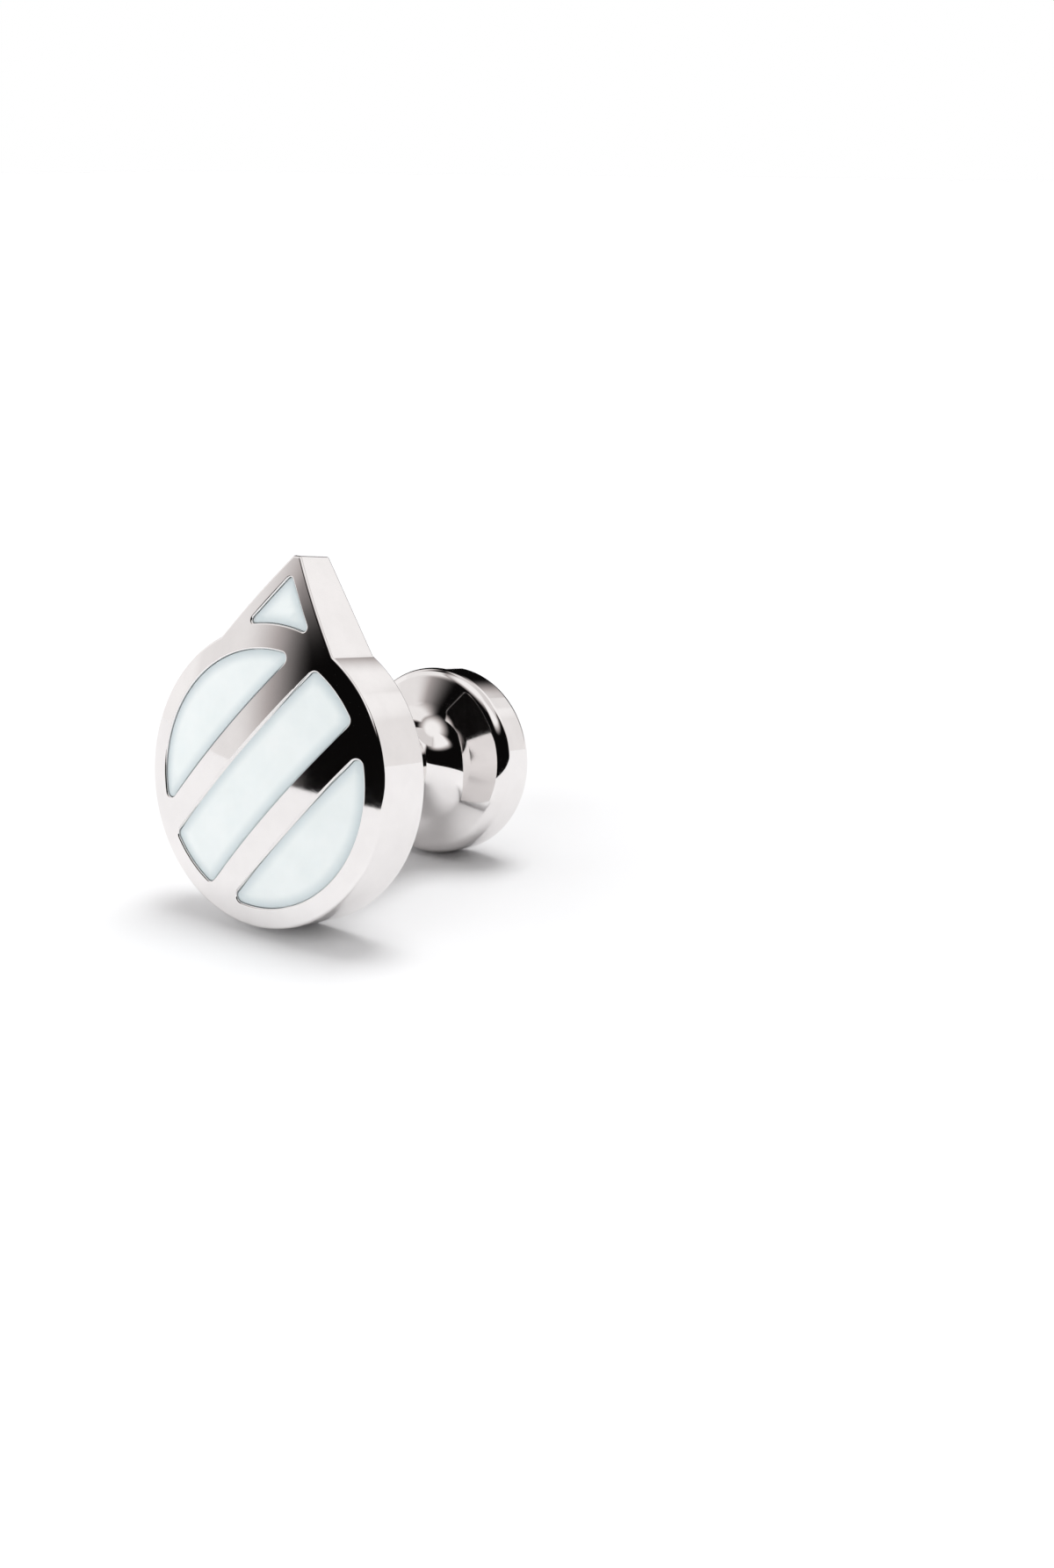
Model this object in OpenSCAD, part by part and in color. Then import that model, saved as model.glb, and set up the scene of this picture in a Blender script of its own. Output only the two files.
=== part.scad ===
// Cufflink with a fixed end button, standing on the edges of its head and its button.
// A thick round head with a pointed tip carries four white inlays behind polished rims.
// Millimetres. +X is right as seen from the front, +Z is up, and the head's front faces -Y.
// The origin is on the floor, under the middle of the whole piece.

/* [Head] */
// Radius of the head's round part
head_r = 8; // [7.6:0.1:9]
// Thickness of the head at the middle of its domed front
head_t = 4.36; // [4.2:0.02:4.8]
// Radius of the sphere that the front is domed to
front_dome_r = 36; // [34:0.5:60]
// Height of the tip above the middle of the round part
tip_h = 11.8; // [11.6:0.05:12.6]
// Width of the small flat on top of the tip
tip_flat_w = 0.5; // [0.3:0.05:0.8]
// Angle from the tip to the corner where its side meets the round part
tip_corner_a = 28.5; // [27:0.5:31]

/* [Cells and inlays] */
// Radius of the round field that the ribs divide into bands
field_r = 6.86; // [6.5:0.02:6.9]
// Width of each rib between two bands
rib_w = 1.56; // [1.2:0.04:1.8]
// How far the ribs lean over to the right
rib_lean = 40; // [0:5:90]
// Width of the rim along each side of the tip
tip_rim_w = 0.8; // [0.7:0.05:0.9]
// Radius of the arc below the tip's cell, round the middle of the head
tip_arc_r = 8.2; // [8:0.05:8.3]
// Radius of the corners of the bands
band_corner_r = 0.35; // [0.2:0.05:0.4]
// Radius of the corners of the tip's cell
tip_corner_r = 0.2; // [0.1:0.02:0.3]
// Height of the round field's floor over the head's back
field_floor = 2.9; // [2.7:0.05:3]
// Height of the tip cell's floor over the head's back
tip_floor = 2.1; // [1.8:0.05:2.2]
// How far the inlays lie below the polished front
inlay_recess = 0.12; // [0.05:0.01:0.2]

/* [Foot disc] */
// Radius of the disc round the foot of the post
disc_r = 4.42; // [4.2:0.02:4.8]
// Height of the disc's lip over the head's back
disc_h = 0.34; // [0.3:0.02:0.4]
// Depth of the seat that the disc is let into
disc_seat = 0.6; // [0.5:0.05:0.8]
// Width of the disc's rounded lip
disc_lip_w = 0.26; // [0.2:0.02:0.32]
// Depth of the dish below the lip
disc_dish = 0.3; // [0.2:0.02:0.4]

/* [Post] */
// Radius of the post
post_r = 1.885; // [1.8:0.005:2]
// Radius of the bead round the foot of the post
bead_r = 2.28; // [2.2:0.01:2.5]
// Radius of the bead's round section
bead_round = 0.42; // [0.4:0.01:0.46]
// Radius of the hollow between the bead and the post
bead_hollow = 0.4; // [0.3:0.05:0.6]
// Radius of the spigots that go into the head and the button
spigot_r = 1.3; // [1.1:0.05:1.4]
// Depth of the post's bore in the head's back
head_bore = 2.1; // [1.8:0.05:2.2]
// Depth of the post's bore in the button, from the end of the bar
button_bore = 3.9; // [3:0.1:4.5]

/* [Button] */
// Radius of the button
button_r = 5.47; // [5.2:0.01:5.8]
// Distance from the head's back to the widest part of the button's rim
rim_gap = 11.65; // [10.8:0.05:13.3]
// Distance from there to the middle of the button's outer face
button_t = 2.55; // [2.4:0.05:2.9]
// Radius of the sphere that the outer face is domed to
button_dome_r = 28; // [26:1:40]
// Radius of the shoulder between the edge and the outer face
shoulder_r = 0.55; // [0.45:0.05:0.6]
// Radius of the rounded rim on the inner side
rim_r = 0.8; // [0.6:0.05:0.9]
// Angle by which the cone inside the rim slopes down to the post
cone_a = 20; // [16:0.5:24]
// Radius of the flare from the post into the cone
flare_r = 2.5; // [1.8:0.05:2.8]

/* [Bead rosette] */
// Number of small beads in the ring on the outer face
rosette_count = 8; // [6:1:10]
// Radius of the ring of beads
rosette_r = 1.85; // [1.7:0.05:2.2]
// Radius of each small bead
rosette_bead_r = 0.4; // [0.3:0.02:0.44]
// Radius of the bead in the middle
rosette_middle_r = 0.7; // [0.5:0.05:0.8]
// How far the middle of a bead lies below the face, as a share of its radius
rosette_sink = 0.35; // [0.2:0.05:0.5]

/* [Stand] */
// Depth of the flats that it stands on, under the edges of the head and the button
stand_flat = 0.1; // [0.06:0.01:0.14]

/* [Hidden] */
$fn = 96;

// Clearance between pieces, length of the steps along an arc of an outline,
// and how far a cut or a hidden side runs past the surface that it meets
gap = 0.02;
arc_step = 0.3;
past = 1;
white_gold = [0.82, 0.8, 0.79];
white_inlay = [0.91, 0.94, 0.94];

// Tip: its side leans by side_a from the axis, and both sides would meet at sharp_h.
// The side runs on past its corner, to a foot inside the round part
corner = head_r * [sin(tip_corner_a), cos(tip_corner_a)];
side_a = atan2(corner.x - tip_flat_w / 2, tip_h - corner.y);
sharp_h = tip_h + tip_flat_w / 2 / tan(side_a);
foot = corner + past * [sin(side_a), -cos(side_a)];

// Ribs: their middles lie a band and a rib apart
band_w = (2 * field_r - 2 * rib_w) / 3;

// Foot of the post: the bead's middle, and the angle where the hollow takes over from it
dish_floor = disc_h - disc_dish;
bead_middle = [bead_r - bead_round, dish_floor + gap + bead_round];
bead_turn = acos((post_r + bead_hollow - bead_middle.x) / (bead_round + bead_hollow));
hollow_middle = bead_middle + (bead_round + bead_hollow) * [cos(bead_turn), sin(bead_turn)];

// Button: its inner face runs from the rim down a cone and into the flare, which ends at the neck
cone_out = [button_r, rim_gap] + rim_r * [sin(cone_a) - 1, -cos(cone_a)];
cone_in_r = post_r + flare_r * (1 - sin(cone_a));
neck = cone_out.y - (cone_out.x - cone_in_r) * tan(cone_a) - flare_r * cos(cone_a);
bore_end = neck + button_bore;

// Button: its outer face
apex = rim_gap + button_t;
button_dome_y = apex - button_dome_r;
shoulder_turn = asin((button_r - shoulder_r) / (button_dome_r - shoulder_r));
shoulder_middle = [
    button_r - shoulder_r,
    button_dome_y + (button_dome_r - shoulder_r) * cos(shoulder_turn)
];

// Rest: one straight line touches the head's back edge and the button's shoulder,
// and the whole piece leans back by tilt until that line is level, a flat's depth below the floor
reach = head_r - button_r + shoulder_r;
tilt = acos(shoulder_r / norm([reach, shoulder_middle.y])) - atan2(shoulder_middle.y, reach);
axis_h = head_r * cos(tilt) - stand_flat;
front_y = (front_dome_r - head_t) * cos(tilt) - front_dome_r;
back_y = max(
    shoulder_middle.y * cos(tilt) + shoulder_middle.x * sin(tilt) + shoulder_r,
    (apex - rosette_sink * rosette_middle_r) * cos(tilt) + rosette_middle_r
);

// Points along an arc, in steps of about arc_step
function arc(middle, radius, from, to) =
    let (steps = max(4, ceil(abs(to - from) * PI / 180 * radius / arc_step)))
    [for (i = [0 : steps])
        let (a = from + (to - from) * i / steps)
        middle + radius * [cos(a), sin(a)]];

// Outline of the band right of both ribs, taken in by a clearance
function side_band(inset) =
    let (
        r = field_r - inset,
        c = band_corner_r - inset,
        x = band_w / 2 + rib_w + inset + c,
        y = sqrt((r - c) ^ 2 - x ^ 2),
        turn = atan2(y, x)
    )
    concat(
        arc([0, 0], r, -turn, turn),
        arc([x, y], c, turn, 180),
        arc([x, -y], c, 180, 360 - turn)
    );

// Outline of the band between the ribs
function middle_band(inset) =
    let (
        r = field_r - inset,
        c = band_corner_r - inset,
        x = band_w / 2 - inset - c,
        y = sqrt((r - c) ^ 2 - x ^ 2),
        turn = atan2(y, x)
    )
    concat(
        arc([x, y], c, 0, turn),
        arc([0, 0], r, turn, 180 - turn),
        arc([-x, y], c, 180 - turn, 180),
        arc([-x, -y], c, 180, 180 + turn),
        arc([0, 0], r, 180 + turn, 360 - turn),
        arc([x, -y], c, 360 - turn, 360)
    );

// Outline of the tip's cell: two sides parallel to the tip's, over an arc round the field
function tip_cell(inset) =
    let (
        r = tip_arc_r + inset,
        c = tip_corner_r - inset,
        out = [cos(side_a), sin(side_a)],
        up = [-sin(side_a), cos(side_a)],
        away = sharp_h * sin(side_a) - tip_rim_w - inset - c,
        low = away * out + sqrt((r + c) ^ 2 - away ^ 2) * up,
        turn = atan2(low.y, low.x)
    )
    concat(
        arc(low, c, turn - 180, side_a),
        arc([0, away / sin(side_a)], c, side_a, 180 - side_a),
        arc([-low.x, low.y], c, 180 - side_a, 360 - turn),
        arc([0, 0], r, 180 - turn, turn)
    );

// Sets a piece from its own axis, with the head's back at zero, onto the floor
module resting() {
    translate([0, -(front_y + back_y) / 2, axis_h])
        rotate([-tilt, 0, 0])
            children();
}

// Rests a piece that reaches the floor, and takes off what lies below it
module standing() {
    difference() {
        resting() children();
        translate([0, 0, -past]) cube([4 * head_r, 4 * head_r, 2 * past], center = true);
    }
}

// An outline seen from the front, raised towards the front from one height over the back to another
module milled(low, high) {
    rotate([90, 0, 0])
        translate([0, 0, low])
            linear_extrude(height = high - low)
                children();
}

// A section of radius and distance from the head's back, turned round the post's axis
module turned(section) {
    rotate([-90, 0, 0])
        rotate_extrude()
            polygon(section);
}

// The sphere of the domed front, taken in by a depth
module front_dome(depth) {
    translate([0, front_dome_r - head_t, 0])
        sphere(r = front_dome_r - depth, $fn = 180);
}

module head_outline() {
    circle(r = head_r);
    polygon([
        [-foot.x, foot.y],
        [foot.x, foot.y],
        [tip_flat_w / 2, tip_h],
        [-tip_flat_w / 2, tip_h]
    ]);
}

// The round field's three bands, leaning to the right
module leaning() {
    rotate(-rib_lean)
        children();
}

module head() {
    color(white_gold)
        standing()
            difference() {
                intersection() {
                    milled(0, head_t + past) head_outline();
                    front_dome(0);
                }
                milled(field_floor, head_t + past)
                    leaning() {
                        polygon(side_band(0));
                        rotate(180) polygon(side_band(0));
                        polygon(middle_band(0));
                    }
                milled(tip_floor, head_t + past) polygon(tip_cell(0));
                milled(-past, disc_seat) circle(r = disc_r + gap);
                milled(0, head_bore) circle(r = spigot_r + gap);
            }
}

// An inlay fills its cell to a little below the polished front
module inlay(floor_h) {
    color(white_inlay)
        resting()
            intersection() {
                milled(floor_h + gap, head_t + past) children();
                front_dome(inlay_recess);
            }
}

module inlay_tip() {
    inlay(tip_floor) polygon(tip_cell(gap));
}

module inlay_left() {
    inlay(field_floor) leaning() rotate(180) polygon(side_band(gap));
}

module inlay_middle() {
    inlay(field_floor) leaning() polygon(middle_band(gap));
}

module inlay_right() {
    inlay(field_floor) leaning() polygon(side_band(gap));
}

// Dished disc with a rounded lip, round the foot of the post
module foot_disc() {
    lip = disc_lip_w / 2;
    color(white_gold)
        resting()
            turned(concat(
                [[spigot_r + gap, gap - disc_seat], [disc_r, gap - disc_seat]],
                arc([disc_r - lip, disc_h - lip], lip, 0, 150),
                [[bead_middle.x + gap, dish_floor], [spigot_r + gap, dish_floor]]
            ));
}

// Round bar with a bead at its foot and a spigot at each end
module post() {
    color(white_gold)
        resting()
            turned(concat(
                [[0, gap - head_bore], [spigot_r, gap - head_bore], [spigot_r, dish_floor + gap]],
                arc(bead_middle, bead_round, -90, bead_turn),
                arc(hollow_middle, bead_hollow, bead_turn + 180, 180),
                [[post_r, neck - gap], [spigot_r, neck - gap]],
                [[spigot_r, bore_end - gap], [0, bore_end - gap]]
            ));
}

// Mushroom button: a flared neck, a cone with a rounded rim, and a domed outer face with a rosette
module button() {
    color(white_gold)
        standing()
            union() {
                turned(concat(
                    [[0, bore_end], [spigot_r + gap, bore_end], [spigot_r + gap, neck]],
                    arc([post_r + flare_r, neck], flare_r, 180, 90 + cone_a),
                    arc([button_r - rim_r, rim_gap], rim_r, cone_a - 90, 0),
                    arc(shoulder_middle, shoulder_r, 0, 90 - shoulder_turn),
                    arc([0, button_dome_y], button_dome_r, 90 - shoulder_turn, 90)
                ));
                bead(0, rosette_middle_r);
                for (i = [1 : rosette_count])
                    rotate([0, i * 360 / rosette_count, 0])
                        bead(rosette_r, rosette_bead_r);
            }
}

// A bead partly sunk in the outer face, at a distance from its middle
module bead(away, radius) {
    face_y = button_dome_y + sqrt(button_dome_r ^ 2 - away ^ 2);
    translate([0, face_y - rosette_sink * radius, away])
        sphere(r = radius, $fn = 48);
}

head();
inlay_tip();
inlay_left();
inlay_middle();
inlay_right();
foot_disc();
post();
button();
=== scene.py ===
"""A cufflink with a fixed end button, standing on the edges of its head and its button."""
from math import acos, asin, atan2, ceil, cos, hypot, pi, radians, sin, sqrt, tan

import bpy
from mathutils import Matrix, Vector
from mathutils.geometry import intersect_point_line


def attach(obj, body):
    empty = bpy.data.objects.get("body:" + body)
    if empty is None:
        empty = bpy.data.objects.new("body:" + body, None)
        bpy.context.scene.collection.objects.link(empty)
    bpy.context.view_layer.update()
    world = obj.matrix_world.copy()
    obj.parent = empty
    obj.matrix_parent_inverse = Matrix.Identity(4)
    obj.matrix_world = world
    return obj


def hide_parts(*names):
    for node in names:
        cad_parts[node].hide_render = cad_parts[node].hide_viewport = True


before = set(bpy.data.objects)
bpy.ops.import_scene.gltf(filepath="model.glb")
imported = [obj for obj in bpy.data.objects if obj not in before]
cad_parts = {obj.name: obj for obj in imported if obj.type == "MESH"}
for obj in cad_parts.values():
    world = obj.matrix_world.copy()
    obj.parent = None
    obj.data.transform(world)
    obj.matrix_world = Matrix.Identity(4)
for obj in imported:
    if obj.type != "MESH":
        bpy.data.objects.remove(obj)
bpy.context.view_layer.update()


# Camera: it stands to the front right of the cufflink and looks down on it by 18 degrees,
# through a lens of about 45 mm, as in the photograph.
mm = 0.001
camera_spot = (66.6, -80.82, 40.32)
camera_yaw = 34.42
camera_pitch = 18.26
camera_data = bpy.data.cameras.new("camera")
camera_data.lens = 44.7
camera_data.sensor_width = 36
camera_data.clip_start = 1 * mm
camera_data.clip_end = 20
camera = bpy.data.objects.new("camera", camera_data)
camera.location = [c * mm for c in camera_spot]
camera.rotation_euler = (radians(90 - camera_pitch), 0, radians(camera_yaw))
bpy.context.collection.objects.link(camera)
bpy.context.scene.camera = camera


# Studio: a wide matt white table top, and white softboxes in a dark room.
# The polished metal shows them as white fields with soft edges, and the room as black.
def linear(code):
    """An sRGB hex colour as linear red, green, blue and alpha."""
    parts = [int(code[i : i + 2], 16) / 255 for i in (1, 3, 5)]
    return [c / 12.92 if c <= 0.04045 else ((c + 0.055) / 1.055) ** 2.4 for c in parts] + [1]


def add_node(tree, kind, feeds=(), **settings):
    """Adds a node to a tree: feeds gives its inputs a value, or the output that drives them."""
    node = tree.nodes.new(kind)
    for name, value in settings.items():
        setattr(node, name, value)
    for name, value in dict(feeds).items():
        if isinstance(value, bpy.types.NodeSocket):
            tree.links.new(value, node.inputs[name])
        else:
            node.inputs[name].default_value = value
    return node


def deselect():
    """Leaves object mode with nothing selected."""
    if bpy.context.object and bpy.context.object.mode != "OBJECT":
        bpy.ops.object.mode_set(mode="OBJECT")
    bpy.ops.object.select_all(action="DESELECT")


deselect()
bpy.ops.mesh.primitive_plane_add(size=4)
table_top = bpy.context.object
table_top.name = "table_top"

# Matt white paper: it spreads the light evenly, and takes soft grey shadows.
paper = bpy.data.materials.new("matt_white_paper")
paper.use_nodes = True
paper_shader = paper.node_tree.nodes["Principled BSDF"]
paper_shader.inputs["Base Color"].default_value = linear("#F5F6F7")
paper_shader.inputs["Roughness"].default_value = 0.9
paper_shader.inputs["Specular IOR Level"].default_value = 0.1
table_top.data.materials.append(paper)

# The softboxes, in degrees: their left and right edge and how soft each is, their low and high
# edge and how soft each is, how far their sides lean for each degree of height, and their
# brightness. Left and right are measured from straight ahead of the camera, with right as
# positive.
softboxes = [
    ((-109.5, 20.5), (-27, 10), (-20, 3), (40, 14), 0.33, 0.87),
    ((-93, 14), (-40, 16), (-20, 3), (34, 12), 0.33, 1),
    ((-97, 40), (-38, 12), (24, 10), (62, 12), 0, 0.93),
    ((-181, 1), (181, 1), (64, 26), (120, 3), 0, 1),
    ((-10, 8), (110, 40), (44, 8), (120, 3), 0, 0.75),
    ((94, 46), (168, 20), (41, 14), (120, 3), 0, 1),
    ((20, 26), (73, 12), (22.5, 10), (48, 14), 0, 1),
    ((40, 14), (73, 12), (12, 22), (48, 14), 0, 1),
    ((57, 5), (84, 12), (-8, 6), (30, 14), -1, 0.88),
]
world = bpy.data.worlds.new("studio")
bpy.context.scene.world = world
world.use_nodes = True
sky = world.node_tree
sky.nodes.clear()
direction = add_node(sky, "ShaderNodeTexCoord").outputs["Generated"]
facing = add_node(
    sky, "ShaderNodeMapping", {"Vector": direction, "Rotation": (0, 0, radians(-camera_yaw))}
).outputs["Vector"]
split = add_node(sky, "ShaderNodeSeparateXYZ", {"Vector": facing})
around = add_node(
    sky, "ShaderNodeMath", {0: split.outputs["X"], 1: split.outputs["Y"]}, operation="ARCTAN2"
).outputs["Value"]
upwards = add_node(
    sky, "ShaderNodeMath", {0: split.outputs["Z"]}, operation="ARCSINE"
).outputs["Value"]
glow = None
for left, right, low, high, lean, brightness in softboxes:
    across = add_node(
        sky,
        "ShaderNodeMath",
        {0: upwards, 1: -lean, 2: around},
        operation="MULTIPLY_ADD",
    ).outputs["Value"]
    field = None
    for angle, (edge, blur), top in (
        (across, left, brightness),
        (across, (right[0], -right[1]), 1),
        (upwards, low, 1),
        (upwards, (high[0], -high[1]), 1),
    ):
        fade = add_node(
            sky,
            "ShaderNodeMapRange",
            {
                "Value": angle,
                "From Min": radians(edge - blur / 2),
                "From Max": radians(edge + blur / 2),
                "To Max": top,
            },
            interpolation_type="SMOOTHSTEP",
        ).outputs["Result"]
        field = fade if field is None else add_node(
            sky, "ShaderNodeMath", {0: field, 1: fade}, operation="MULTIPLY"
        ).outputs["Value"]
    glow = field if glow is None else add_node(
        sky, "ShaderNodeMath", {0: glow, 1: field}, operation="MAXIMUM"
    ).outputs["Value"]
# The softboxes' fading edges are a little warmer than their middles.
tint = add_node(sky, "ShaderNodeValToRGB", {"Fac": glow})
tint.color_ramp.elements[0].color = linear("#0B0A0A")
tint.color_ramp.elements[1].color = linear("#FFFEFE")
halfway = tint.color_ramp.elements.new(0.5)
halfway.color = linear("#BCB6B5")
lit_room = add_node(sky, "ShaderNodeBackground", {"Color": tint.outputs["Color"], "Strength": 1.05})
backdrop = add_node(sky, "ShaderNodeBackground", {"Color": linear("#FFFFFF"), "Strength": 1})
# The camera itself sees plain white behind the table.
to_camera = add_node(sky, "ShaderNodeLightPath").outputs["Is Camera Ray"]
seen = add_node(
    sky,
    "ShaderNodeMixShader",
    {0: to_camera, 1: lit_room.outputs["Background"], 2: backdrop.outputs["Background"]},
)
add_node(sky, "ShaderNodeOutputWorld", {"Surface": seen.outputs["Shader"]})

# Two soft lamps, which the metal doesn't show: a high one from behind on the right whitens the
# paper and throws the shadows, and a wider, low one from the front left lights the inlays.
# Each has its strength, the spread of its light, its lean from straight above and its turn.
for name, energy, spread, lean, turn in (
    ("high_lamp", 1.42, 30, 16, camera_yaw + 145),
    ("front_lamp", 1.36, 60, 65, camera_yaw - 40),
):
    lamp_data = bpy.data.lights.new(name, "SUN")
    lamp_data.energy = energy
    lamp_data.angle = radians(spread)
    lamp = bpy.data.objects.new(name, lamp_data)
    lamp.rotation_euler = (radians(lean), 0, radians(turn))
    lamp.visible_glossy = False
    bpy.context.collection.objects.link(lamp)
bpy.context.scene.view_settings.view_transform = "Standard"


# Head: a cast and milled block of white gold, domed in front, with three leaning bands and a
# cell in its pointed tip cut down for the inlays. Its edges are rounded by polishing, and its
# flat back has a seat for the foot disc and a bore for the post.
head_r = 8
head_t = 4.36
front_dome_r = 36
tip_h = 11.8
tip_flat_w = 0.5
tip_corner_a = radians(28.5)
field_r = 6.86
rib_w = 1.56
rib_lean = radians(40)
tip_rim_w = 0.8
tip_arc_r = 8.2
band_corner_r = 0.35
tip_corner_r = 0.2
field_floor = 2.9
tip_floor = 2.1
disc_r = 4.42
disc_seat = 0.6
spigot_r = 1.3
head_bore = 2.1
gap = 0.02

# Radii of the roundings that polishing leaves on the outline, round the cells, round the seat
# and beside the flat on top of the tip.
head_edge = 0.14
cell_edge = 0.1
seat_edge = 0.03
top_corner_r = 0.16

# The grid of fine cuts that lets the front bulge, and how far it keeps off the middle lines,
# as a share of its step.
dome_grid = 0.25
grid_shift = 0.37

# Two lengths that differ by less than level count as one, points nearer than merge_gap are
# merged, points within dome_gap of the dome's sphere lie on it, and faces that meet at more
# than sharp_angle keep a sharp edge. The tip's straight sides are cut in side_steps.
level = 1e-4
merge_gap = 0.0002
dome_gap = 0.002
sharp_angle = radians(32)
side_steps = 12

# The straight sides of the tip, as in the solid: how far they lean, and where they would meet.
corner = (head_r * sin(tip_corner_a), head_r * cos(tip_corner_a))
side_a = atan2(corner[0] - tip_flat_w / 2, tip_h - corner[1])
sharp_h = tip_h + tip_flat_w / 2 / tan(side_a)
band_w = (2 * field_r - 2 * rib_w) / 3

# How the whole cufflink stands: it leans back until its head and its button touch the table.
button_r = 5.47
rim_gap = 11.65
button_t = 2.55
button_dome_r = 28
shoulder_r = 0.55
rosette_middle_r = 0.7
rosette_sink = 0.35
stand_flat = 0.1
apex = rim_gap + button_t
button_dome_y = apex - button_dome_r
shoulder_turn = asin((button_r - shoulder_r) / (button_dome_r - shoulder_r))
shoulder_middle = (
    button_r - shoulder_r,
    button_dome_y + (button_dome_r - shoulder_r) * cos(shoulder_turn),
)
reach = head_r - button_r + shoulder_r
tilt = acos(shoulder_r / hypot(reach, shoulder_middle[1])) - atan2(shoulder_middle[1], reach)
axis_h = head_r * cos(tilt) - stand_flat
front_y = (front_dome_r - head_t) * cos(tilt) - front_dome_r
back_y = max(
    shoulder_middle[1] * cos(tilt) + shoulder_middle[0] * sin(tilt) + shoulder_r,
    (apex - rosette_sink * rosette_middle_r) * cos(tilt) + rosette_middle_r,
)


def arc(middle, radius, start, end, steps):
    """Points along an arc, with angles in radians."""
    turns = [start + (end - start) * i / steps for i in range(steps + 1)]
    return [(middle[0] + radius * cos(a), middle[1] + radius * sin(a)) for a in turns]


def turned(points, angle):
    """An outline turned about the middle of the head."""
    return [(x * cos(angle) - y * sin(angle), x * sin(angle) + y * cos(angle)) for x, y in points]


def head_outline(inset):
    """The round head with its pointed tip, taken in by a distance."""
    r = head_r - inset
    c = top_corner_r - inset
    out = (cos(side_a), sin(side_a))
    away = sharp_h * sin(side_a) - inset
    along = sqrt(r * r - away * away)
    foot = (away * out[0] - along * out[1], away * out[1] + along * out[0])
    top_middle = (
        (away - c - (tip_h - top_corner_r) * out[1]) / out[0],
        tip_h - top_corner_r,
    )
    bend = arc(top_middle, c, side_a, pi / 2, steps=5)
    side = [
        (foot[0] + (bend[0][0] - foot[0]) * share, foot[1] + (bend[0][1] - foot[1]) * share)
        for share in [i / side_steps for i in range(1, side_steps)]
    ]
    right = arc((0, 0), r, -pi / 2, atan2(foot[1], foot[0]), steps=152) + side + bend
    return right + [(-x, y) for x, y in right[:0:-1]]


def side_band(inset):
    """The band right of both ribs."""
    r = field_r - inset
    c = band_corner_r - inset
    x = band_w / 2 + rib_w + inset + c
    y = sqrt((r - c) ** 2 - x * x)
    turn = atan2(y, x)
    return turned(
        arc((0, 0), r, -turn, turn, steps=64)[1:]
        + arc((x, y), c, turn, pi, steps=12)[1:]
        + arc((x, -y), c, pi, 2 * pi - turn, steps=12),
        -rib_lean,
    )


def middle_band(inset):
    """The band between the ribs."""
    r = field_r - inset
    c = band_corner_r - inset
    x = band_w / 2 - inset - c
    y = sqrt((r - c) ** 2 - x * x)
    turn = atan2(y, x)
    half = (
        arc((x, y), c, 0, turn, steps=8)
        + arc((0, 0), r, turn, pi - turn, steps=24)[1:]
        + arc((-x, y), c, pi - turn, pi, steps=8)[1:]
    )
    return turned(half + turned(half, pi), -rib_lean)


def tip_cell(inset):
    """The cell in the tip: two straight sides over an arc round the field."""
    r = tip_arc_r + inset
    c = tip_corner_r - inset
    out = (cos(side_a), sin(side_a))
    away = sharp_h * out[1] - tip_rim_w - inset - c
    along = sqrt((r + c) ** 2 - away * away)
    low = (away * out[0] - along * out[1], away * out[1] + along * out[0])
    turn = atan2(low[1], low[0])
    return (
        arc(low, c, turn - pi, side_a, steps=12)
        + arc((0, away / out[1]), c, side_a, pi - side_a, steps=10)
        + arc((-low[0], low[1]), c, pi - side_a, 2 * pi - turn, steps=12)
        + arc((0, 0), r, pi - turn, turn, steps=40)[1:-1]
    )


def rounding(outline, size, inset, height, up, steps=4):
    """The sections of a rounded edge, from the wall to the face that it ends in: up is 1 for a
    face on top and -1 for one below."""
    turns = [pi / 2 * i / steps for i in range(steps + 1)]
    return [
        [(x, y, height - up * size * (1 - sin(t))) for x, y in outline(inset + size * (1 - cos(t)))]
        for t in turns
    ]


def skin(name, sections, first_face=False, last_face=False):
    """A skin through closed sections that have the same number of points, with a face over
    its first or last section where one is asked for."""
    deselect()
    count = len(sections[0])
    bpy.ops.mesh.primitive_circle_add(vertices=count, fill_type="NGON" if first_face else "NOTHING")
    piece = bpy.context.object
    piece.name = piece.data.name = name
    for k, section in enumerate(sections):
        if k:
            bpy.ops.object.mode_set(mode="EDIT")
            bpy.ops.mesh.select_mode(type="EDGE")
            if k == 1 and first_face:
                bpy.ops.mesh.extrude_edges_move()
            else:
                bpy.ops.mesh.extrude_region()
            bpy.ops.object.mode_set(mode="OBJECT")
        for vertex, place in zip(piece.data.vertices[k * count : (k + 1) * count], section):
            vertex.co = place
    if last_face:
        bpy.ops.object.mode_set(mode="EDIT")
        bpy.ops.mesh.edge_face_add()
        bpy.ops.object.mode_set(mode="OBJECT")
    return piece


def pick(piece, wanted):
    """Selects the vertices of a piece, and what lies between them, by their place."""
    deselect()
    bpy.context.view_layer.objects.active = piece
    piece.select_set(True)
    bpy.ops.object.mode_set(mode="EDIT")
    bpy.ops.mesh.select_mode(type="VERT")
    bpy.ops.mesh.select_all(action="DESELECT")
    bpy.ops.object.mode_set(mode="OBJECT")
    for vertex in piece.data.vertices:
        vertex.select = wanted(vertex.co)
    bpy.ops.object.mode_set(mode="EDIT")


def join(pieces):
    """Joins pieces that share their rims into one closed mesh."""
    deselect()
    bpy.context.view_layer.objects.active = pieces[0]
    for piece in pieces:
        piece.select_set(True)
    bpy.ops.object.join()
    return pieces[0]


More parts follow.
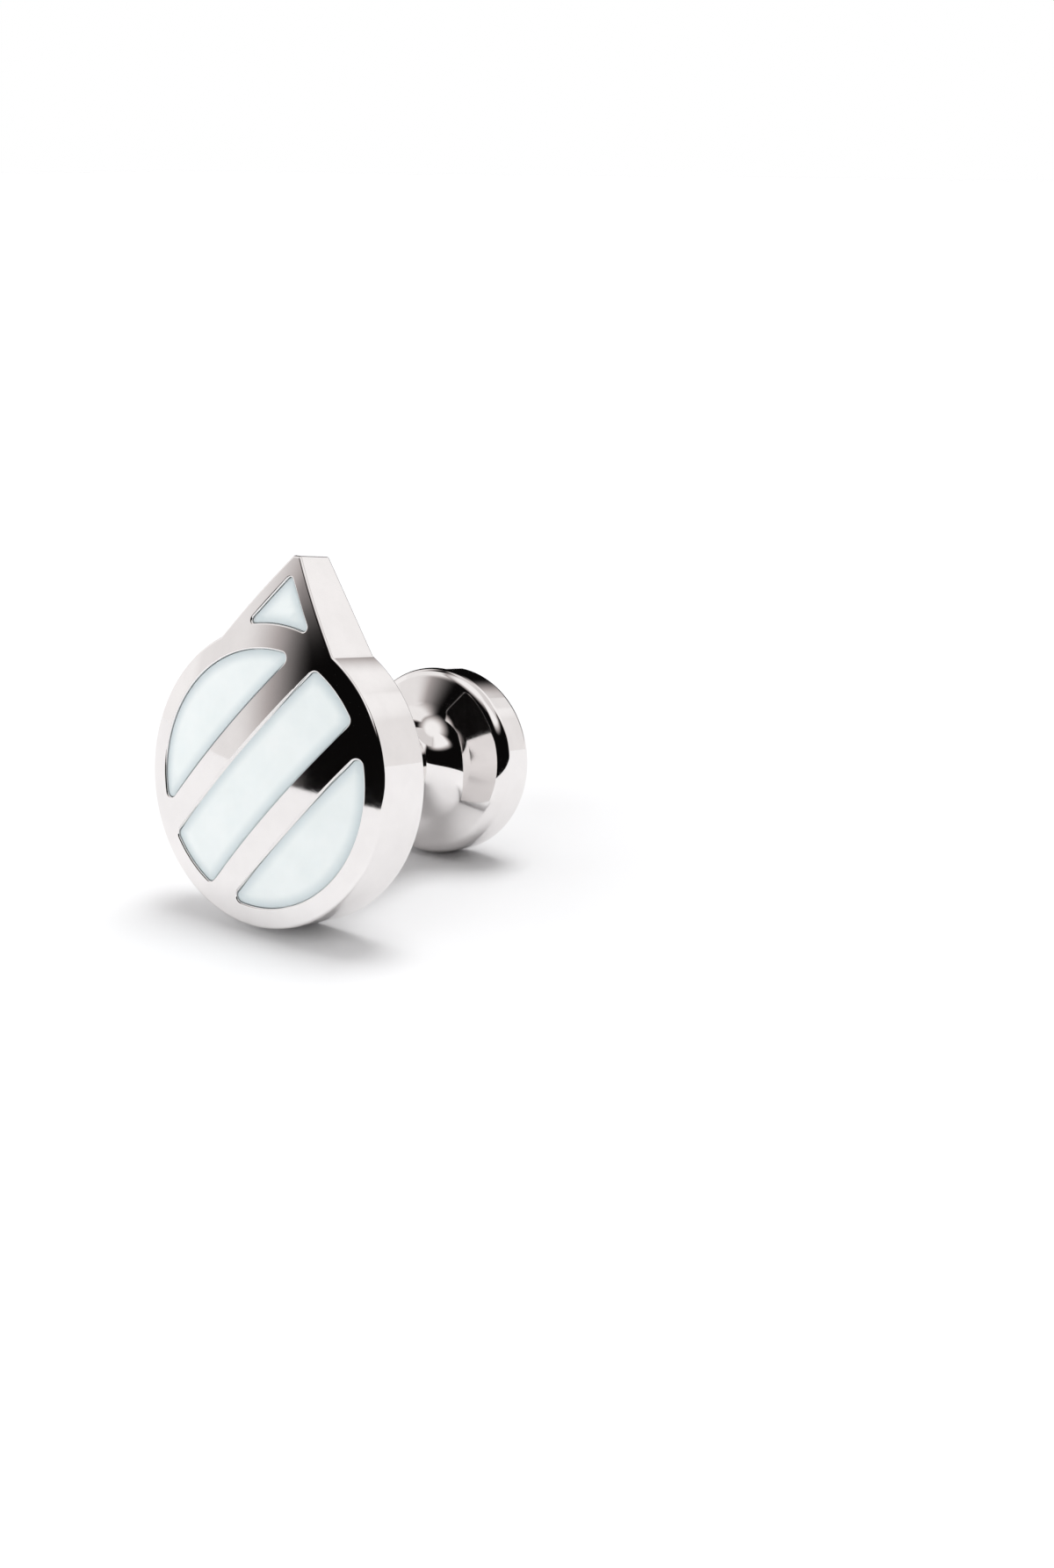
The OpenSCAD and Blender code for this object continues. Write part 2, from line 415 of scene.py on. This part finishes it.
def close_front(piece, height, edge, sphere_r, grid):
    """Fills the front between its rims, divides it finely and domes it."""
    pick(piece, lambda co: abs(co.z - height) < level)
    bpy.ops.mesh.fill(use_beauty=False)
    bpy.ops.mesh.dissolve_limited(angle_limit=radians(1))
    bpy.ops.mesh.hide(unselected=True)
    for axis, reach in ((0, head_r), (1, tip_h)):
        for step in range(-ceil(reach / grid), ceil(reach / grid) + 1):
            spot = [0, 0, 0]
            spot[axis] = (step + grid_shift) * grid
            normal = [0, 0, 0]
            normal[axis] = 1
            bpy.ops.mesh.select_all(action="SELECT")
            bpy.ops.mesh.bisect(plane_co=spot, plane_no=normal)
    bpy.ops.mesh.reveal(select=False)
    bpy.ops.object.mode_set(mode="OBJECT")
    for vertex in piece.data.vertices:
        if vertex.co.z > height - edge - level:
            away = hypot(vertex.co.x, vertex.co.y)
            vertex.co.z -= sphere_r - sqrt(sphere_r ** 2 - away ** 2)


def cut_level(piece):
    """Takes off what would lie below the table."""
    pick(piece, lambda co: True)
    bpy.ops.mesh.bisect(
        plane_co=(0, -axis_h / cos(tilt), 0),
        plane_no=(0, cos(tilt), sin(tilt)),
        use_fill=True,
        clear_inner=True,
    )
    bpy.ops.object.mode_set(mode="OBJECT")


def finish_surface(piece):
    """Turns the faces outwards and shades them smooth, with flat faces kept flat."""
    pick(piece, lambda co: True)
    bpy.ops.mesh.remove_doubles(threshold=merge_gap)
    bpy.ops.mesh.normals_make_consistent(inside=False)
    bpy.ops.object.mode_set(mode="OBJECT")
    bpy.ops.object.shade_smooth_by_angle(angle=sharp_angle)
    even = piece.modifiers.new("even", "WEIGHTED_NORMAL")
    even.keep_sharp = True
    bpy.ops.object.modifier_apply(modifier="even")


def true_dome(piece, height, sphere_r):
    """Shades a domed front by the sphere's own normals, also on its slivers along the rims."""
    middle = Vector((0, 0, height - sphere_r))
    normals = []
    for corner in piece.data.loops:
        away = piece.data.vertices[corner.vertex_index].co - middle
        if abs(away.length - sphere_r) < dome_gap:
            normals.append(away.normalized())
        else:
            normals.append(piece.data.corner_normals[corner.index].vector.copy())
    piece.data.normals_split_custom_set(normals)


def stand_up(piece):
    """Sets a finished piece, which lies face up in millimetres, in its place in metres."""
    deselect()
    bpy.context.view_layer.objects.active = piece
    piece.select_set(True)
    piece.scale = (mm, mm, mm)
    piece.rotation_euler = (pi / 2 - tilt, 0, 0)
    piece.location = (0, -(front_y + back_y) / 2 * mm, axis_h * mm)
    bpy.ops.object.transform_apply(location=True, rotation=True, scale=True)


wall = skin(
    "polished_head",
    rounding(head_outline, head_edge, inset=0, height=0, up=-1)[::-1]
    + rounding(head_outline, head_edge, inset=0, height=head_t, up=1),
)
cells = []
for outline, floor in (
    (tip_cell, tip_floor),
    (side_band, field_floor),
    (middle_band, field_floor),
    (lambda inset: turned(side_band(inset), pi), field_floor),
):
    rim = rounding(lambda inset: outline(-inset), cell_edge, inset=0, height=head_t, up=1)
    cells.append(
        skin("cell", rim[::-1] + [[(x, y, floor) for x, y in outline(0)]], last_face=True)
    )
seat = skin(
    "seat",
    [
        [(x, y, z) for x, y in arc((0, 0), r, 0, 2 * pi, steps=128)[:-1]]
        for r, z in (
            (disc_r + gap + seat_edge, 0),
            (disc_r + gap, seat_edge),
            (disc_r + gap, disc_seat),
            (spigot_r + gap, disc_seat),
            (spigot_r + gap, head_bore),
        )
    ],
    last_face=True,
)
head = join([wall, seat] + cells)
pick(head, lambda co: abs(co.z) < level)
bpy.ops.mesh.fill(use_beauty=False)
close_front(head, head_t, head_edge, front_dome_r, dome_grid)
cut_level(head)
finish_surface(head)
true_dome(head, head_t, front_dome_r)
stand_up(head)


# The hairlines run one way over all the metal, and are drawn coarser than real ones, so that
# they show: their turn, in radians, and how much longer than wide they are.
hairline_turn = (0.3, 0.7, 0.5)
hairline_stretch = 9


def white_gold(name, roughness, ripple):
    """Polished white gold, a hard warm grey mirror: fine hairlines blur it a little unevenly,
    and the slow ripple left by hand polishing, given in millimetres, bends what it shows."""
    metal = bpy.data.materials.new(name)
    metal.use_nodes = True
    tree = metal.node_tree
    shader = tree.nodes["Principled BSDF"]
    shader.inputs["Metallic"].default_value = 1
    place = add_node(tree, "ShaderNodeTexCoord").outputs["Object"]
    patches = add_node(
        tree,
        "ShaderNodeTexNoise",
        {"Vector": place, "Scale": 1 / (1.6 * mm), "Detail": 4, "Roughness": 0.6},
    ).outputs["Fac"]
    colour = add_node(tree, "ShaderNodeValToRGB", {"Fac": patches})
    colour.color_ramp.elements[0].position = 0.35
    colour.color_ramp.elements[0].color = linear("#E9E6E5")
    colour.color_ramp.elements[1].position = 0.65
    colour.color_ramp.elements[1].color = linear("#EDEAE9")
    tree.links.new(colour.outputs["Color"], shader.inputs["Base Color"])
    stretched = add_node(
        tree,
        "ShaderNodeMapping",
        {"Vector": place, "Rotation": hairline_turn, "Scale": (1, hairline_stretch, 1)},
    ).outputs["Vector"]
    hairlines = add_node(
        tree, "ShaderNodeTexNoise", {"Vector": stretched, "Scale": 1 / (0.4 * mm), "Detail": 6}
    ).outputs["Fac"]
    blur = add_node(
        tree,
        "ShaderNodeMapRange",
        {
            "Value": hairlines,
            "From Min": 0.35,
            "From Max": 0.65,
            "To Min": roughness * 0.7,
            "To Max": roughness * 1.4,
        },
    ).outputs["Result"]
    tree.links.new(blur, shader.inputs["Roughness"])
    waves = add_node(
        tree, "ShaderNodeTexNoise", {"Vector": place, "Scale": 1 / (2.5 * mm), "Detail": 1}
    ).outputs["Fac"]
    bump = add_node(
        tree, "ShaderNodeBump", {"Height": waves, "Strength": 1, "Distance": ripple * mm}
    ).outputs["Normal"]
    tree.links.new(bump, shader.inputs["Normal"])
    return metal


def dress(piece, material, node):
    """Gives a piece its material, and puts it in the place of its solid."""
    piece.data.materials.clear()
    piece.data.materials.append(material)
    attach(piece, "root")
    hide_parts(node)


head_metal = white_gold("polished_white_gold", roughness=0.045, ripple=0.006)
dress(head, head_metal, "head")


# Inlays: four tiles of satin white stone, cut to the cells and cemented in a little below the
# polished rims, with their top edges just softened.
inlay_recess = 0.12
inlay_edge = 0.03
inlay_grid = 0.4
inlay_top = head_t - inlay_recess
inlay_dome_r = front_dome_r - inlay_recess
# How far in from the tile's outline the painted shade reaches, in millimetres.
edge_shade_width = 0.7

# Pale cool white stone with a satin surface: light sinks in a little. Near its outline each
# tile is painted a shade darker and bluer, a painted shade for the shade that the cell's
# walls cast on the sunken tile. The grain is drawn coarser than a real one, so that it shows.
stone = bpy.data.materials.new("satin_white_stone")
stone.use_nodes = True
tree = stone.node_tree
shader = tree.nodes["Principled BSDF"]
shader.inputs["Roughness"].default_value = 0.42
shader.inputs["IOR"].default_value = 1.54
shader.inputs["Subsurface Weight"].default_value = 0.25
shader.inputs["Subsurface Scale"].default_value = 0.6 * mm
shader.inputs["Subsurface Radius"].default_value = (1, 0.9, 0.85)
place = add_node(tree, "ShaderNodeTexCoord").outputs["Object"]
clouds = add_node(
    tree,
    "ShaderNodeTexNoise",
    {"Vector": place, "Scale": 1 / (1.8 * mm), "Detail": 3, "Roughness": 0.55},
).outputs["Fac"]
cloudy = add_node(tree, "ShaderNodeValToRGB", {"Fac": clouds})
cloudy.color_ramp.elements[0].position = 0.3
cloudy.color_ramp.elements[0].color = linear("#ECF3F3")
cloudy.color_ramp.elements[1].position = 0.7
cloudy.color_ramp.elements[1].color = linear("#F2F8F8")
margin = add_node(tree, "ShaderNodeAttribute", attribute_name="margin").outputs["Fac"]
# Painted shade: near its outline the stone's colour turns to a darker, bluer #D3DEE1, standing in
# for the shade of the cell's walls.
painted_edge_shade = add_node(
    tree,
    "ShaderNodeMapRange",
    {"Value": margin, "From Max": edge_shade_width, "To Min": 1, "To Max": 0},
    interpolation_type="SMOOTHSTEP",
).outputs["Result"]
shaded = add_node(
    tree,
    "ShaderNodeMix",
    {"Factor": painted_edge_shade, 6: cloudy.outputs["Color"], 7: linear("#D3DEE1")},
    data_type="RGBA",
)
tree.links.new(shaded.outputs[2], shader.inputs["Base Color"])
grain = add_node(
    tree, "ShaderNodeTexNoise", {"Vector": place, "Scale": 1 / (0.08 * mm), "Detail": 3}
).outputs["Fac"]
rough = add_node(
    tree, "ShaderNodeBump", {"Height": grain, "Strength": 0.5, "Distance": 0.004 * mm}
).outputs["Normal"]
tree.links.new(rough, shader.inputs["Normal"])

for name, outline, floor, node in (
    ("tip_inlay", tip_cell, tip_floor, "inlay_tip"),
    ("left_inlay", lambda inset: turned(side_band(inset), pi), field_floor, "inlay_left"),
    ("middle_inlay", middle_band, field_floor, "inlay_middle"),
    ("right_inlay", side_band, field_floor, "inlay_right"),
):
    sections = rounding(outline, inlay_edge, inset=gap, height=inlay_top, up=1)
    base = [(x, y, floor + gap) for x, y in outline(gap)]
    tile = skin(name, [base] + sections, first_face=True)
    close_front(tile, inlay_top, inlay_edge, inlay_dome_r, inlay_grid)
    finish_surface(tile)
    true_dome(tile, inlay_top, inlay_dome_r)
    # Each point holds its distance from the tile's outline, which the stone's painted edge shade
    # reads.
    edge = [Vector(spot) for spot in outline(gap)]
    distances = tile.data.attributes.new("margin", "FLOAT", "POINT")
    for vertex, value in zip(tile.data.vertices, distances.data):
        spot = vertex.co.xy
        near = head_r
        for a, b in zip(edge, edge[1:] + edge[:1]):
            foot, share = intersect_point_line(spot, a, b)
            foot = a.lerp(b, min(max(share, 0), 1))
            near = min(near, (spot - foot.xy).length)
        value.value = near
    stand_up(tile)
    dress(tile, stone, node)


# Foot disc: a turned dish of white gold with a thin rounded lip, soldered into the head's back
# round the foot of the post.
disc_h = 0.34
disc_lip_w = 0.26
disc_dish = 0.3
lip = disc_lip_w / 2
lip_turn = radians(150)
bead_r = 2.28
bead_round = 0.42
dish_floor = disc_h - disc_dish
bead_middle = (bead_r - bead_round, dish_floor + gap + bead_round)

# Points nearer than seam_gap are merged, where a turned piece meets itself and on its axis.
seam_gap = 0.0005


def spun(name, section, closed, steps=192):
    """A section of radius and distance behind the head's back, spun round the post's axis.
    A closed one stays clear of the axis, and an open one starts and ends on it."""
    deselect()
    bpy.ops.mesh.primitive_circle_add(vertices=len(section))
    piece = bpy.context.object
    piece.name = piece.data.name = name
    for vertex, (r, y) in zip(piece.data.vertices, section):
        vertex.co = (r, 0, -y)
    if not closed:
        pick(piece, lambda co: abs(co.x) < level)
        bpy.ops.mesh.delete(type="EDGE")
    pick(piece, lambda co: True)
    bpy.ops.mesh.spin(steps=steps, angle=2 * pi, center=(0, 0, 0), axis=(0, 0, 1))
    bpy.ops.mesh.select_all(action="SELECT")
    bpy.ops.mesh.remove_doubles(threshold=seam_gap)
    bpy.ops.mesh.normals_make_consistent(inside=False)
    bpy.ops.object.mode_set(mode="OBJECT")
    return piece


disc = spun(
    "dished_foot",
    [(spigot_r + gap, gap - disc_seat), (disc_r, gap - disc_seat)]
    + arc((disc_r - lip, disc_h - lip), lip, 0, lip_turn, steps=12)
    + [(bead_middle[0] + gap, dish_floor), (spigot_r + gap, dish_floor)],
    closed=True,
)
finish_surface(disc)
stand_up(disc)
dish_metal = white_gold("polished_white_gold_dish", roughness=0.06, ripple=0.004)
dress(disc, dish_metal, "foot_disc")


# Post: a round bar of white gold with a bead turned round its foot, riveted and soldered into
# the head and the button with a spigot at each end.
post_r = 1.885
bead_hollow = 0.4
bead_turn = acos((post_r + bead_hollow - bead_middle[0]) / (bead_round + bead_hollow))
hollow_middle = (
    bead_middle[0] + (bead_round + bead_hollow) * cos(bead_turn),
    bead_middle[1] + (bead_round + bead_hollow) * sin(bead_turn),
)
rim_r = 0.8
cone_a = radians(20)
flare_r = 2.5
button_bore = 3.9
cone_out = (button_r + rim_r * (sin(cone_a) - 1), rim_gap - rim_r * cos(cone_a))
cone_in_r = post_r + flare_r * (1 - sin(cone_a))
neck = cone_out[1] - (cone_out[0] - cone_in_r) * tan(cone_a) - flare_r * cos(cone_a)
bore_end = neck + button_bore
post = spun(
    "round_post",
    [(0, gap - head_bore), (spigot_r, gap - head_bore), (spigot_r, dish_floor + gap)]
    + arc(bead_middle, bead_round, -pi / 2, bead_turn, steps=24)
    + arc(hollow_middle, bead_hollow, bead_turn + pi, pi, steps=12)
    + [(post_r, neck - gap), (spigot_r, neck - gap)]
    + [(spigot_r, bore_end - gap), (0, bore_end - gap)],
    closed=False,
)
finish_surface(post)
stand_up(post)
bar_metal = white_gold("polished_white_gold_bar", roughness=0.05, ripple=0.004)
dress(post, bar_metal, "post")


# Button: a turned mushroom of white gold that passes the buttonhole. It flares out of the post
# into a cone with a rounded rim, and carries a rosette of beads on its domed outer face.
rosette_count = 8
rosette_r = 1.85
rosette_bead_r = 0.4
button = spun(
    "end_button",
    [(0, bore_end), (spigot_r + gap, bore_end), (spigot_r + gap, neck)]
    + arc((post_r + flare_r, neck), flare_r, pi, pi / 2 + cone_a, steps=32)
    + arc((button_r - rim_r, rim_gap), rim_r, cone_a - pi / 2, 0, steps=24)
    + arc(shoulder_middle, shoulder_r, 0, pi / 2 - shoulder_turn, steps=12)
    + arc((0, button_dome_y), button_dome_r, pi / 2 - shoulder_turn, pi / 2, steps=24)[1:],
    closed=False,
)
# The first bead is the larger one in the middle.
beads = []
for i in range(rosette_count + 1):
    away = rosette_r if i else 0
    r = rosette_bead_r if i else rosette_middle_r
    height = button_dome_y + sqrt(button_dome_r ** 2 - away ** 2) - rosette_sink * r
    turn = 2 * pi * i / rosette_count
    deselect()
    bpy.ops.mesh.primitive_uv_sphere_add(
        segments=40, ring_count=20, radius=r, location=(away * sin(turn), away * cos(turn), -height)
    )
    bpy.ops.object.transform_apply(location=True)
    beads.append(bpy.context.object)
beading = join(beads)
deselect()
bpy.context.view_layer.objects.active = button
button.select_set(True)
union = button.modifiers.new("union", "BOOLEAN")
union.operation = "UNION"
union.object = beading
bpy.ops.object.modifier_apply(modifier="union")
bpy.data.objects.remove(beading)
cut_level(button)
finish_surface(button)
stand_up(button)
button_metal = white_gold("polished_white_gold_button", roughness=0.05, ripple=0.004)
dress(button, button_metal, "button")
